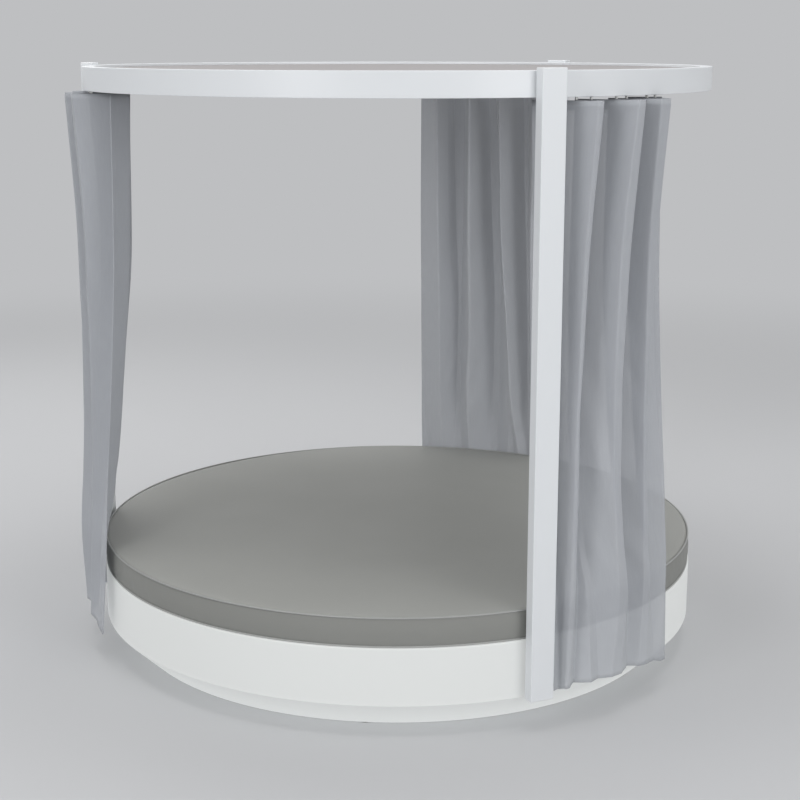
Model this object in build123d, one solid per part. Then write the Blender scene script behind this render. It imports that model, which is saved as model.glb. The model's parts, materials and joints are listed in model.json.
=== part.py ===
from build123d import *
import os
from math import asin, cos, degrees, hypot, radians, sin, tan

# Round daybed: a hollow glowing drum with a round mattress, three posts bolted
# to its wall, a ring on the posts that carries a taut roof and is the curtain rail,
# and three pleated curtains stacked beside the posts.
# Millimetres, +Z up, origin on the floor at the drum's axis, one post at the back on +Y.

# Base drum
drum_radius = 1050.0
drum_top = 290.0
toe_setback = 104.0
toe_height = 103.0
drum_foot = 4.0
drum_wall = 7.0
drum_edge_radius = 6.0
foot_flange = 60.0
floor_panel_thickness = 4.0
floor_panel_margin = 9.0
panel_rib_height = 5.0
panel_rib_width = 6.0
panel_rib_share = 0.55
hatch_opening_radius = 88.0
hatch_margin = 109.0
hatch_flange = 14.0
hatch_thickness = 3.0
hatch_screw_count = 3
hatch_screw_radius = 2.5
hatch_screw_head_radius = 5.0
hatch_screw_head = 2.5
glide_radius = 24.0
glide_count = 6
centre_foot_radius = 60.0

# Frame inside the drum
hub_radius = 90.0
hub_wall = 6.0
arm_width = 40.0
arm_height = 60.0
arm_wall = 3.0
rib_height = 40.0
backing_width = 120.0
backing_height = 150.0
backing_thickness = 6.0

# Lamp inside the drum
tray_inner_radius = 110.0
tray_thickness = 2.0
light_bar_count = 12
light_bar_margin = 9.5
light_bar_width = 22.0
light_bar_height = 12.0
light_bar_top_share = 0.5
driver_length = 200.0
driver_width = 70.0
driver_height = 36.0
driver_wall = 2.5
driver_lid_thickness = 3.0
driver_turn = 20.0
gland_turn = 72.0
gland_shank_radius = 10.0
gland_flange_radius = 15.0
gland_flange_thickness = 5.0
gland_nose_radius = 11.5
gland_nose_length = 12.0
gland_bore_radius = 4.0
gland_nut_thickness = 5.0
gland_height_share = 0.5
gland_chamfer = 2.9

# Mattress
mattress_setback = 3.0
mattress_height = 95.0
mattress_crown = 4.0
cover_thickness = 5.0
base_cloth_thickness = 2.0
welt_radius = 3.0
welt_sides = 8
border_bulge = 2.6

# Posts
post_width = 80.0
post_depth = 40.0
post_wall = 3.0
post_corner_radius = 3.0
post_foot_rise = 1.0
post_rise = 8.0
cap_thickness = 4.0
cap_chamfer = 1.5
cap_skirt = 14.0
cap_skirt_wall = 2.0
spacer_width = 60.0
spacer_height = 160.0
spacer_drop = 85.0
spacer_corner = 6.0
saddle_thickness = 2.0
saddle_margin = 4.0
post_bolt_radius = 5.0
post_bolt_rise = 50.0
bolt_head_share = 1.6
bolt_head_height_share = 1.0
nut_length_share = 1.6
bolt_overhang_share = 0.4

# Ring, a rolled hollow profile with a curtain slot below and a bead groove inside
ring_overhang = 12.0
ring_top = 2000.0
ring_height = 76.0
ring_width = 40.0
ring_wall = 3.0
ring_edge = 1.2
ring_joint_gap = 1.0
slot_mouth = 10.0
slot_width = 22.0
slot_depth = 12.0
chamber_height = 36.0
groove_radius = 4.0
groove_mouth = 2.4
groove_drop = 10.0
groove_setback = 6.5
splice_turn = 5.0
ring_bolt_radius = 4.0
ring_bolt_spread = 44.0
stop_length = 12.0
stop_turn = -1.4

# Roof cloth
roof_thickness = 1.2
roof_sag = 10.0
bead_clearance = 0.3
bead_sides = 8

# Curtains: fold corners from the fixed side to the leading edge, as turns in
# degrees from the post's middle, at the head, the waist and the hem
head_drop = 9.0
curtain_hem = 115.0
tape_height = 30.0
cloth_thickness = 3.0
fold_radius = 9.0
fold_reach_share = 0.42
fold_turns_head = (0.9, 0.7, 8.2, 10.6, 16.0, 18.5, 23.6, 26.3, 30.6)
fold_turns_waist = (2.0, 2.2, 6.4, 9.4, 14.4, 18.3, 22.9, 26.0, 30.6)
fold_turns_hem = (3.6, 4.5, 5.4, 7.6, 15.9, 20.4, 23.8, 25.9, 28.8)

# How far the inner and outer folds reach from the slot, the mattress or the drum, the
# height of each level, and how far its turns have drifted from waist to hem
head_reach_in = 125.0
head_reach_out = 68.0
waist_reach_in = 82.0
waist_reach_out = 46.0
waist_height_share = 0.364
knee_reach_in = 44.0
knee_reach_out = 48.0
knee_rise = 345.0
knee_drift_share = 0.35
deck_gap_in = 12.0
deck_gap_out = 52.0
deck_rise = 65.0
deck_drift_share = 0.80
hem_gap_in = 18.0
hem_gap_out = 42.0

# Where the two cut edges lie between the inner and the outer folds
edge_trailing_share = 0.65
edge_leading_share = 0.48
deck_leading_share = 0.75
hem_trailing_share = 0.0
hem_leading_share = 1.35

# Fit and cutting
clearance = 0.3
seat_gap = 0.1
bolt_clearance = 0.4
glider_head_share = 0.7
glider_height_share = 0.6
glider_length = 14.0
glider_stem = 6.0
overrun = 10.0

post_turns = {"back": 90.0, "left": 210.0, "right": 330.0}
bay_turn = 360.0 / len(post_turns)

# Worked out from the sizes above
toe_radius = drum_radius - toe_setback
inner_wall_radius = drum_radius - drum_wall
deck_underside = drum_top - drum_wall
panel_underside = drum_foot + drum_wall
panel_top = panel_underside + floor_panel_thickness
panel_radius = toe_radius - floor_panel_margin
hatch_offset = panel_radius - hatch_margin - hatch_opening_radius
mattress_radius = drum_radius - mattress_setback
mattress_top = drum_top + mattress_height
seam_radius = mattress_radius - welt_radius
ring_radius = drum_radius + ring_overhang
ring_inner = ring_radius - ring_width
ring_bottom = ring_top - ring_height
slot_radius = ring_radius - ring_width / 2
slot_floor = ring_bottom + ring_wall
slot_roof = slot_floor + slot_depth
chamber_floor = slot_roof + ring_wall
chamber_roof = chamber_floor + chamber_height
groove_z = ring_top - groove_drop
groove_middle = ring_inner + groove_setback
post_inner = ring_radius + saddle_thickness
post_outer = post_inner + post_depth
post_middle = post_inner + post_depth / 2
post_foot = toe_height + post_foot_rise
post_top = ring_top + post_rise
spacer_centre = drum_top - spacer_drop
post_bolt_heights = (spacer_centre - post_bolt_rise, spacer_centre + post_bolt_rise)
ring_bolt_height = (chamber_floor + chamber_roof) / 2
ring_bolt_offsets = (-ring_bolt_spread / 2, ring_bolt_spread / 2)
curtain_top = ring_bottom - head_drop
curtain_neck = curtain_top - tape_height
deck_height = mattress_top + deck_rise
knee_height = mattress_top + knee_rise
waist_height = knee_height + (curtain_neck - knee_height) * waist_height_share
head_reach = (slot_radius - head_reach_in, slot_radius + head_reach_out)
waist_reach = (slot_radius - waist_reach_in, slot_radius + waist_reach_out)
knee_reach = (mattress_radius - knee_reach_in, mattress_radius + knee_reach_out)
deck_reach = (mattress_radius + deck_gap_in, mattress_radius + deck_gap_out)
hem_reach = (drum_radius + hem_gap_in, drum_radius + hem_gap_out)


def turned(shape, angle):
    return Rot(0, 0, angle) * shape


def rod(radius, start, end, y=0.0, z=0.0):
    # A round bar along X
    bar = Cylinder(radius, end - start, align=(Align.CENTER, Align.CENTER, Align.MIN))
    return Pos(start, y, z) * Rot(0, 90, 0) * bar


def hexagon_bar(radius, start, end, y=0.0, z=0.0):
    bar = extrude(RegularPolygon(radius, 6), end - start)
    return Pos(start, y, z) * Rot(0, 90, 0) * bar


def block(x0, x1, y0, y1, z0, z1):
    size = (x1 - x0, y1 - y0, z1 - z0)
    return Pos(x0, y0, z0) * Box(*size, align=(Align.MIN, Align.MIN, Align.MIN))


def tube(radius, inner, z0, z1):
    ring = Circle(radius) - Circle(inner)
    return Pos(0, 0, z0) * extrude(ring, z1 - z0)


def disc(radius, z0, z1):
    return Pos(0, 0, z0) * extrude(Circle(radius), z1 - z0)


def outline_face(*edges):
    # A closed outline, as (distance from the axis, height)
    return Sketch() + make_face(Curve() + list(edges))


# Base

def base_shell():
    wall_line = Polyline(
        (toe_radius - foot_flange, drum_foot),
        (toe_radius, drum_foot),
        (drum_radius, toe_height),
        (drum_radius, drum_top - drum_edge_radius),
    )
    corner = RadiusArc(
        (drum_radius, drum_top - drum_edge_radius),
        (drum_radius - drum_edge_radius, drum_top),
        -drum_edge_radius,
    )
    deck = Line((drum_radius - drum_edge_radius, drum_top), (0, drum_top))
    slope = hypot(drum_radius - toe_radius, toe_height - drum_foot)
    lean = (drum_radius - toe_radius) / slope
    rise = (toe_height - drum_foot) / slope
    # The toe's inner line, one wall inside, met with the inner wall and the flange
    start_x = drum_radius - drum_wall * rise
    start_z = toe_height + drum_wall * lean
    crease_z = start_z - (start_x - inner_wall_radius) * rise / lean
    heel_x = start_x - (start_z - panel_underside) * lean / rise
    inside = Polyline(
        (0, drum_top),
        (0, deck_underside),
        (inner_wall_radius, deck_underside),
        (inner_wall_radius, crease_z),
        (heel_x, panel_underside),
        (toe_radius - foot_flange, panel_underside),
        (toe_radius - foot_flange, drum_foot),
    )
    section = outline_face(*wall_line.edges(), corner, deck, *inside.edges())
    shell = revolve(Plane.XZ * section, Axis.Z)
    for angle in post_turns.values():
        for height in post_bolt_heights:
            hole = rod(post_bolt_radius + bolt_clearance, inner_wall_radius - overrun,
                       drum_radius + overrun, z=height)
            shell -= turned(hole, angle)
    hole = Cylinder(gland_shank_radius + bolt_clearance, drum_wall + 2 * overrun)
    return shell - gland_place() * hole


def floor_panel():
    panel = disc(panel_radius, panel_underside, panel_top)
    rib_radius = panel_radius * panel_rib_share
    panel += tube(rib_radius, rib_radius - panel_rib_width, panel_top,
                  panel_top + panel_rib_height)
    panel -= Pos(0, -hatch_offset) * disc(hatch_opening_radius, 0, panel_top + overrun)
    for x, y in hatch_screw_places():
        panel -= Pos(x, y) * disc(hatch_screw_radius, 0, panel_top + overrun)
    return panel


def hatch_screw_places():
    circle = hatch_opening_radius + hatch_flange / 2
    places = []
    for i in range(hatch_screw_count):
        turn = radians(i * 360.0 / hatch_screw_count)
        places.append((circle * cos(turn), circle * sin(turn) - hatch_offset))
    return places


def lamp_hatch():
    flange = disc(hatch_opening_radius + hatch_flange, panel_underside - hatch_thickness,
                  panel_underside)
    plug = tube(hatch_opening_radius - clearance, hatch_opening_radius - hatch_thickness,
                panel_underside, panel_top)
    hatch = Pos(0, -hatch_offset) * (flange + plug)
    for x, y in hatch_screw_places():
        hatch -= Pos(x, y) * disc(hatch_screw_radius, 0, panel_underside)
    return hatch


def hatch_screws():
    screws = []
    seat = panel_underside - hatch_thickness
    for x, y in hatch_screw_places():
        head = extrude(RegularPolygon(hatch_screw_head_radius, 6), -hatch_screw_head)
        screw = Pos(0, 0, seat) * head + disc(hatch_screw_radius, seat, panel_top)
        screws.append(Pos(x, y) * screw)
    return screws


def floor_glides():
    glides = []
    circle = toe_radius - foot_flange / 2
    for i in range(glide_count):
        glide = Pos(circle, 0) * disc(glide_radius, 0, drum_foot)
        glides.append(turned(glide, i * 360.0 / glide_count))
    return glides


def centre_foot():
    return disc(centre_foot_radius, 0, panel_underside)


def base_hub():
    return tube(hub_radius, hub_radius - hub_wall, panel_top, deck_underside)


def base_arm():
    reach = inner_wall_radius - backing_thickness - backing_sagitta()
    outer = block(hub_radius - hub_wall / 2, reach, -arm_width / 2, arm_width / 2,
                  deck_underside - arm_height, deck_underside)
    inner = block(0, reach + overrun, -arm_width / 2 + arm_wall, arm_width / 2 - arm_wall,
                  deck_underside - arm_height + arm_wall, deck_underside - arm_wall)
    arm = outer - inner
    return arm - disc(hub_radius + seat_gap, 0, drum_top)


def backing_sagitta():
    half = backing_width / 2
    return inner_wall_radius - (inner_wall_radius ** 2 - half ** 2) ** 0.5


def backing_plate():
    # Curved on the wall side, flat on the side of the arm and the bolt heads
    flat = inner_wall_radius - backing_thickness - backing_sagitta()
    plate = block(flat, inner_wall_radius + overrun, -backing_width / 2, backing_width / 2,
                  spacer_centre - backing_height / 2, deck_underside)
    plate &= disc(inner_wall_radius - seat_gap, 0, drum_top)
    for height in post_bolt_heights:
        plate -= rod(post_bolt_radius + bolt_clearance, flat - overrun, drum_radius, z=height)
    return plate


def deck_rib():
    rib = block(hub_radius - hub_wall / 2, inner_wall_radius, -arm_width / 2, arm_width / 2,
                deck_underside - rib_height, deck_underside)
    hollow = block(0, drum_radius, -arm_width / 2 + arm_wall, arm_width / 2 - arm_wall,
                   0, deck_underside - arm_wall)
    rib &= disc(inner_wall_radius - seat_gap, 0, drum_top)
    return rib - hollow - disc(hub_radius + seat_gap, 0, drum_top)


def tray_outer():
    # The tray fits inside the floor panel's inner rib
    return panel_radius * panel_rib_share - panel_rib_width - clearance


def lamp_tray():
    return tube(tray_outer(), tray_inner_radius, panel_top, panel_top + tray_thickness)


def light_bars():
    seat = panel_top + tray_thickness
    start = tray_inner_radius + light_bar_margin
    length = tray_outer() - light_bar_margin - start
    top_half = light_bar_width * light_bar_top_share / 2
    bars = []
    for i in range(light_bar_count):
        profile = Polyline(
            (-light_bar_width / 2, 0),
            (light_bar_width / 2, 0),
            (top_half, light_bar_height),
            (-top_half, light_bar_height),
            close=True,
        )
        bar = extrude(Plane.YZ * make_face(profile), length)
        bars.append(turned(Pos(start, 0, seat) * bar, i * 360.0 / light_bar_count))
    return bars


def driver_place():
    return Rot(0, 0, driver_turn - 90.0) * Pos(hatch_offset, 0, panel_top)


def driver_box():
    case = Box(driver_width, driver_length, driver_height,
               align=(Align.CENTER, Align.CENTER, Align.MIN))
    space = Pos(0, 0, driver_wall) * Box(
        driver_width - 2 * driver_wall, driver_length - 2 * driver_wall, driver_height,
        align=(Align.CENTER, Align.CENTER, Align.MIN))
    return driver_place() * (case - space)


def driver_lid():
    lid = Box(driver_width, driver_length, driver_lid_thickness,
              align=(Align.CENTER, Align.CENTER, Align.MIN))
    return driver_place() * Pos(0, 0, driver_height) * lid


def gland_place():
    # Outer face of the toe, with Z along its outward normal
    share = gland_height_share
    radius = toe_radius + (drum_radius - toe_radius) * share
    height = drum_foot + (toe_height - drum_foot) * share
    normal = Vector(toe_height - drum_foot, 0, -(drum_radius - toe_radius))
    plane = Plane(origin=(radius, 0, height), z_dir=normal)
    return Rot(0, 0, gland_turn) * plane.location


def cable_gland():
    shank = disc(gland_shank_radius, -drum_wall - 2 * gland_nut_thickness, 0)
    flange = extrude(RegularPolygon(gland_flange_radius, 6), gland_flange_thickness)
    nose_base = gland_flange_thickness + gland_nose_length
    nose = disc(gland_nose_radius, gland_flange_thickness, nose_base)
    nose = chamfer(nose.edges().group_by(Axis.Z)[-1], gland_chamfer)
    bore = disc(gland_bore_radius, -drum_wall - overrun * 2, nose_base + overrun)
    return gland_place() * (shank + flange + nose - bore)


def gland_nut():
    nut = extrude(RegularPolygon(gland_flange_radius, 6), -gland_nut_thickness)
    nut -= disc(gland_shank_radius + seat_gap, -gland_nut_thickness - overrun, overrun)
    return gland_place() * Pos(0, 0, -drum_wall - clearance) * nut


# Mattress

def welt_section(height, gap=0.0):
    return Pos(seam_radius, height) * RegularPolygon(welt_radius + gap, welt_sides)


def welt(height):
    return revolve(Plane.XZ * welt_section(height), Axis.Z)


def welt_heights():
    return (drum_top + welt_radius + clearance, mattress_top)


def crown_line(radius, height):
    # The crowned top from the axis to a radius, at a height at its edge
    return ThreePointArc((0, height + mattress_crown),
                         (radius / 2, height + mattress_crown * 3 / 4), (radius, height))


def mattress_cover():
    inner_radius = seam_radius - cover_thickness
    inner_top = mattress_top - cover_thickness
    middle = (drum_top + mattress_top) / 2
    section = outline_face(
        crown_line(seam_radius, mattress_top),
        ThreePointArc((seam_radius, mattress_top), (seam_radius + border_bulge, middle),
                      (seam_radius, drum_top)),
        Line((seam_radius, drum_top), (inner_radius, drum_top)),
        Line((inner_radius, drum_top), (inner_radius, inner_top)),
        crown_line(inner_radius, inner_top),
        Line((0, inner_top + mattress_crown), (0, mattress_top + mattress_crown)),
    )
    for height in welt_heights():
        section -= welt_section(height, seat_gap)
    return revolve(Plane.XZ * section, Axis.Z)


def mattress_core():
    inner_radius = seam_radius - cover_thickness
    inner_top = mattress_top - cover_thickness
    seat = drum_top + base_cloth_thickness
    section = outline_face(
        crown_line(inner_radius, inner_top),
        Line((inner_radius, inner_top), (inner_radius, seat)),
        Line((inner_radius, seat), (0, seat)),
        Line((0, seat), (0, inner_top + mattress_crown)),
    )
    return revolve(Plane.XZ * section, Axis.Z)


def mattress_base_cloth():
    return disc(seam_radius - cover_thickness, drum_top, drum_top + base_cloth_thickness)


# Posts, each made on +X and turned to its place

def post():
    length = post_top - cap_thickness - post_foot - cap_thickness
    foot = post_foot + cap_thickness
    outer = RectangleRounded(post_depth, post_width, post_corner_radius)
    inner = Rectangle(post_depth - 2 * post_wall, post_width - 2 * post_wall)
    body = Pos(post_middle, 0, foot) * extrude(outer - inner, length)
    for height in post_bolt_heights:
        body -= rod(post_bolt_radius + bolt_clearance, post_inner - overrun,
                    post_middle, z=height)
    for offset in ring_bolt_offsets:
        body -= rod(ring_bolt_radius + bolt_clearance, post_inner - overrun,
                    post_middle, y=offset, z=ring_bolt_height)
    return body


def end_cap():
    # A plate with a hollow skirt that plugs into the tube, plate upwards
    plate = extrude(RectangleRounded(post_depth, post_width, post_corner_radius), cap_thickness)
    plate = chamfer(plate.edges().group_by(Axis.Z)[-1], cap_chamfer)
    width = post_width - 2 * post_wall - 2 * clearance
    depth = post_depth - 2 * post_wall - 2 * clearance
    skirt = Rectangle(depth, width) - Rectangle(depth - 2 * cap_skirt_wall,
                                                width - 2 * cap_skirt_wall)
    return plate + extrude(skirt, -cap_skirt)


def post_cap():
    return Pos(post_middle, 0, post_top - cap_thickness) * end_cap()


def post_plug():
    return Pos(post_middle, 0, post_foot + cap_thickness) * Rot(180, 0, 0) * end_cap()


def post_spacer():
    spacer = block(drum_radius - overrun, post_inner, -spacer_width / 2, spacer_width / 2,
                   spacer_centre - spacer_height / 2, spacer_centre + spacer_height / 2)
    spacer = fillet(spacer.edges().filter_by(Axis.X), spacer_corner)
    spacer -= disc(drum_radius + seat_gap, 0, ring_top)
    for height in post_bolt_heights:
        spacer -= rod(post_bolt_radius + bolt_clearance, drum_radius - overrun,
                      post_outer, z=height)
    return spacer


def ring_saddle():
    saddle = block(ring_radius - overrun, post_inner, -post_width / 2 + saddle_margin,
                   post_width / 2 - saddle_margin, ring_bottom + saddle_margin,
                   ring_top - saddle_margin)
    saddle -= disc(ring_radius + seat_gap, 0, ring_top)
    for offset in ring_bolt_offsets:
        saddle -= rod(ring_bolt_radius + bolt_clearance, ring_radius - overrun,
                      post_outer, y=offset, z=ring_bolt_height)
    return saddle


def bolt(radius, head_side, end, y, z):
    # Head on the side of the axis, shank pointing outwards
    head = hexagon_bar(radius * bolt_head_share, head_side - radius * bolt_head_height_share,
                       head_side, y, z)
    return head + rod(radius, head_side, end, y, z)


def nut(radius, start, y, z):
    body = hexagon_bar(radius * bolt_head_share, start, start + radius * nut_length_share, y, z)
    return body - rod(radius + seat_gap, start - overrun, start + post_depth, y, z)


def bolt_end(radius, start):
    return start + radius * (nut_length_share + bolt_overhang_share)


def post_bolts(angle):
    head_side = inner_wall_radius - backing_thickness - backing_sagitta()
    nut_side = post_inner + post_wall
    end = bolt_end(post_bolt_radius, nut_side)
    return [turned(bolt(post_bolt_radius, head_side, end, 0.0, z), angle)
            for z in post_bolt_heights]


def post_nuts(angle):
    return [turned(nut(post_bolt_radius, post_inner + post_wall, 0.0, z), angle)
            for z in post_bolt_heights]


def ring_flat():
    # A flat bolt head touches the ring's curved inner wall at its far corner
    reach = ring_bolt_spread / 2 + ring_bolt_radius * bolt_head_share
    return (ring_inner ** 2 - reach ** 2) ** 0.5


def ring_bolts(angle):
    end = bolt_end(ring_bolt_radius, post_inner + post_wall)
    return [turned(bolt(ring_bolt_radius, ring_flat(), end, y, ring_bolt_height), angle)
            for y in ring_bolt_offsets]


def ring_nuts(angle):
    return [turned(nut(ring_bolt_radius, post_inner + post_wall, y, ring_bolt_height), angle)
            for y in ring_bolt_offsets]


# Ring

def ring_profile():
    middle_z = (ring_top + ring_bottom) / 2
    outline = Rectangle(ring_width, ring_height)
    profile = Pos(slot_radius, middle_z) * chamfer(outline.vertices(), ring_edge)
    chamber_width = ring_width - 2 * ring_wall
    chamber_middle = (chamber_floor + chamber_roof) / 2
    profile -= Pos(slot_radius, chamber_middle) * Rectangle(chamber_width, chamber_height)
    slot_middle = (slot_floor + slot_roof) / 2
    profile -= Pos(slot_radius, slot_middle) * Rectangle(slot_width, slot_depth)
    profile -= Pos(slot_radius, slot_floor) * Rectangle(slot_mouth, 2 * ring_wall + clearance)
    profile -= Pos(groove_middle, groove_z) * Circle(groove_radius)
    profile -= Pos(ring_inner, groove_z) * Rectangle(2 * groove_setback, groove_mouth)
    light_left = groove_middle + groove_radius + ring_wall
    light_right = ring_radius - ring_wall
    light_low = chamber_roof + ring_wall
    light_high = ring_top - ring_wall
    light = Rectangle(light_right - light_left, light_high - light_low)
    profile -= Pos((light_left + light_right) / 2, (light_low + light_high) / 2) * light
    return profile


def ring_segment():
    gap = degrees(ring_joint_gap / 2 / ring_radius)
    segment = revolve(Plane.XZ * ring_profile(), Axis.Z, bay_turn - 2 * gap)
    segment = turned(segment, gap)
    for start, sign in ((0.0, 1), (bay_turn, -1)):
        hole = rod(ring_bolt_radius + bolt_clearance, ring_inner - overrun,
                   ring_radius + overrun, y=sign * ring_bolt_spread / 2, z=ring_bolt_height)
        segment -= turned(hole, start)
    return segment


def ring_splice():
    inner = ring_inner + ring_wall + clearance
    outer = ring_radius - ring_wall - clearance
    middle_z = (chamber_floor + chamber_roof) / 2
    bar = Pos((inner + outer) / 2, middle_z) * Rectangle(outer - inner,
                                                         chamber_height - 2 * clearance)
    splice = turned(revolve(Plane.XZ * bar, Axis.Z, splice_turn), -splice_turn / 2)
    for offset in ring_bolt_offsets:
        splice -= rod(ring_bolt_radius + bolt_clearance, ring_inner - overrun,
                      ring_radius + overrun, y=offset, z=ring_bolt_height)
    return splice


def track_stop():
    turn = degrees(stop_length / slot_radius)
    width = slot_width - 2 * clearance
    bar = Pos(slot_radius, (slot_floor + slot_roof) / 2) * Rectangle(width, slot_depth)
    stop = revolve(Plane.XZ * bar, Axis.Z, turn)
    return turned(stop, stop_turn - turn / 2)


# Roof

def bead_section(gap=0.0):
    radius = groove_radius - bead_clearance + gap
    return Pos(groove_middle, groove_z) * RegularPolygon(radius, bead_sides)


def roof_edge_cord():
    return revolve(Plane.XZ * bead_section(), Axis.Z)


def sag_line(radius, height):
    # The cloth's sag from the axis to a radius, at a height at its edge
    return ThreePointArc((0, height - roof_sag), (radius / 2, height - roof_sag * 3 / 4),
                         (radius, height))


def roof_membrane():
    top = groove_z + roof_thickness / 2
    low = groove_z - roof_thickness / 2
    edge = ring_inner - clearance
    section = outline_face(
        sag_line(edge, top),
        Line((edge, top), (groove_middle, top)),
        Line((groove_middle, top), (groove_middle, low)),
        Line((groove_middle, low), (edge, low)),
        sag_line(edge, low),
        Line((0, low - roof_sag), (0, top - roof_sag)),
    )
    return revolve(Plane.XZ * (section - bead_section(seat_gap)), Axis.Z)


# Curtains

def drifted(share):
    # The folds' turns, this share of the way down from the waist to the hem
    pairs = zip(fold_turns_waist, fold_turns_hem)
    return [waist + (hem - waist) * share for waist, hem in pairs]


def fold_corners(reach, turns, trailing, leading):
    # Corners of the zigzag, inner and outer folds in turn, seen from above
    inner, outer = reach
    depths = [trailing] + [i % 2 for i in range(len(turns) - 2)] + [leading]
    corners = []
    for turn, depth in zip(turns, depths):
        radius = inner + (outer - inner) * depth
        corners.append(Vector(radius * cos(radians(turn)), radius * sin(radians(turn))))
    return corners


def ribbon_side(corners, radii, offset):
    # One face of the cloth: straight runs joined by arcs round the fold corners
    points = [corners[0] + left_of(corners[0], corners[1]) * offset]
    edges = []
    for i in range(1, len(corners) - 1):
        before, corner, after = corners[i - 1], corners[i], corners[i + 1]
        come = (corner - before).normalized()
        go = (after - corner).normalized()
        turn = radians(come.get_angle(go))
        reach = radii[i - 1] * tan(turn / 2)
        side = 1 if come.cross(go).Z > 0 else -1
        centre = corner - come * reach + left_of(before, corner) * side * radii[i - 1]
        start = corner - come * reach + left_of(before, corner) * offset
        end = corner + go * reach + left_of(corner, after) * offset
        out = (corner - centre).normalized()
        middle = centre + out * (radii[i - 1] - side * offset)
        edges += [(points[-1], start), (start, middle, end)]
        points.append(end)
    edges.append((points[-1], corners[-1] + left_of(corners[-2], corners[-1]) * offset))
    return edges


def left_of(start, end):
    along = (end - start).normalized()
    return Vector(-along.Y, along.X)


def fold_radii(corners):
    # No fold takes more than its share of the run on either side
    radii = []
    for before, corner, after in zip(corners, corners[1:], corners[2:]):
        come = corner - before
        go = after - corner
        reach = min(come.length, go.length) * fold_reach_share
        radii.append(min(fold_radius, reach / tan(radians(come.get_angle(go)) / 2)))
    return radii


def ribbon(corners):
    # The cloth's section: both sides and the two cut edges
    radii = fold_radii(corners)
    left = ribbon_side(corners, radii, cloth_thickness / 2)
    right = ribbon_side(corners, radii, -cloth_thickness / 2)
    back = [tuple(reversed(edge)) for edge in reversed(right)]
    outline = left + [(left[-1][-1], back[0][0])] + back + [(back[-1][-1], left[0][0])]
    edges = [Line(*edge) if len(edge) == 2 else ThreePointArc(*edge) for edge in outline]
    return make_face(Curve() + edges)


def head_corners():
    return fold_corners(head_reach, fold_turns_head, edge_trailing_share, edge_leading_share)


def head_section():
    return ribbon(head_corners())


def curtain_cloth():
    knee_turns = drifted(knee_drift_share)
    deck_turns = drifted(deck_drift_share)
    edges = (edge_trailing_share, edge_leading_share)
    levels = [
        (curtain_hem, hem_reach, fold_turns_hem, hem_trailing_share, hem_leading_share),
        (deck_height, deck_reach, deck_turns, hem_trailing_share, deck_leading_share),
        (knee_height, knee_reach, knee_turns, *edges),
        (waist_height, waist_reach, fold_turns_waist, *edges),
        (curtain_neck, head_reach, fold_turns_head, *edges),
    ]
    sections = [Pos(0, 0, level[0]) * ribbon(fold_corners(*level[1:])) for level in levels]
    return loft(sections, ruled=True)


def header_tape():
    return Pos(0, 0, curtain_neck) * extrude(head_section(), tape_height)


def glider_turns():
    # Where each run of the pleated head crosses the middle of the slot
    corners = head_corners()
    turns = []
    for start, end in zip(corners, corners[1:]):
        run = end - start
        along = start.dot(run) / run.length ** 2
        off = (start.length ** 2 - slot_radius ** 2) / run.length ** 2
        root = (along ** 2 - off) ** 0.5
        for share in (-along - root, -along + root):
            if 0 < share < 1:
                place = start + run * share
                turns.append(degrees(asin(place.Y / slot_radius)))
    return turns


def gliders():
    parts = []
    for turn in glider_turns():
        head_width = slot_width * glider_head_share
        low = slot_floor + clearance
        high = slot_floor + slot_depth * glider_height_share
        head = block(slot_radius - head_width / 2, slot_radius + head_width / 2,
                     -glider_length / 2, glider_length / 2, low, high)
        stem = block(slot_radius - glider_stem / 2, slot_radius + glider_stem / 2,
                     -glider_stem / 2, glider_stem / 2, curtain_top, low)
        parts.append(turned(head + stem, turn))
    return parts


def save(name, parts):
    solids = []
    for part in parts if isinstance(parts, list) else [parts]:
        solids += part.solids()
    shape = solids[0] if len(solids) == 1 else Compound(children=solids)
    export_step(shape, os.path.join("parts", name + ".step"))


def at_posts(parts_for_angle):
    return [part for angle in post_turns.values() for part in parts_for_angle(angle)]


def build():
    os.makedirs("parts", exist_ok=True)
    save("base_shell", base_shell())
    save("base_floor_panel", floor_panel())
    save("lamp_hatch", lamp_hatch())
    save("hatch_screws", hatch_screws())
    save("floor_glides", floor_glides())
    save("centre_foot", centre_foot())
    save("base_hub", base_hub())
    save("backing_plates", [turned(backing_plate(), a) for a in post_turns.values()])
    save("deck_ribs", [turned(deck_rib(), a + bay_turn / 2) for a in post_turns.values()])
    save("lamp_tray", lamp_tray())
    save("light_bars", light_bars())
    save("driver_box", driver_box())
    save("driver_lid", driver_lid())
    save("cable_gland", cable_gland())
    save("gland_nut", gland_nut())
    save("mattress_core", mattress_core())
    save("mattress_cover", mattress_cover())
    save("mattress_base_cloth", mattress_base_cloth())
    save("mattress_welt_bottom", welt(welt_heights()[0]))
    save("mattress_welt_top", welt(welt_heights()[1]))
    save("post_bolts", at_posts(post_bolts))
    save("post_nuts", at_posts(post_nuts))
    save("ring_bolts", at_posts(ring_bolts))
    save("ring_nuts", at_posts(ring_nuts))
    save("track_stops", [turned(track_stop(), a) for a in post_turns.values()])
    save("roof_edge_cord", roof_edge_cord())
    save("roof_membrane", roof_membrane())
    makers = {
        "base_arm": base_arm,
        "post": post,
        "post_cap": post_cap,
        "post_plug": post_plug,
        "post_spacer": post_spacer,
        "ring_saddle": ring_saddle,
        "ring_segment": ring_segment,
        "ring_splice": ring_splice,
        "curtain": curtain_cloth,
        "curtain_tape": header_tape,
        "curtain_gliders": gliders,
    }
    for name, make in makers.items():
        made = make()
        for side, angle in post_turns.items():
            copies = [turned(part, angle) for part in (made if isinstance(made, list) else [made])]
            save(f"{name}_{side}", copies)


build()
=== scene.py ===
# Round daybed: the finish of every surface, the soft pieces, the light and the camera
import json
from math import atan2, cos, pi, radians, sin, sqrt, tan

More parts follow.
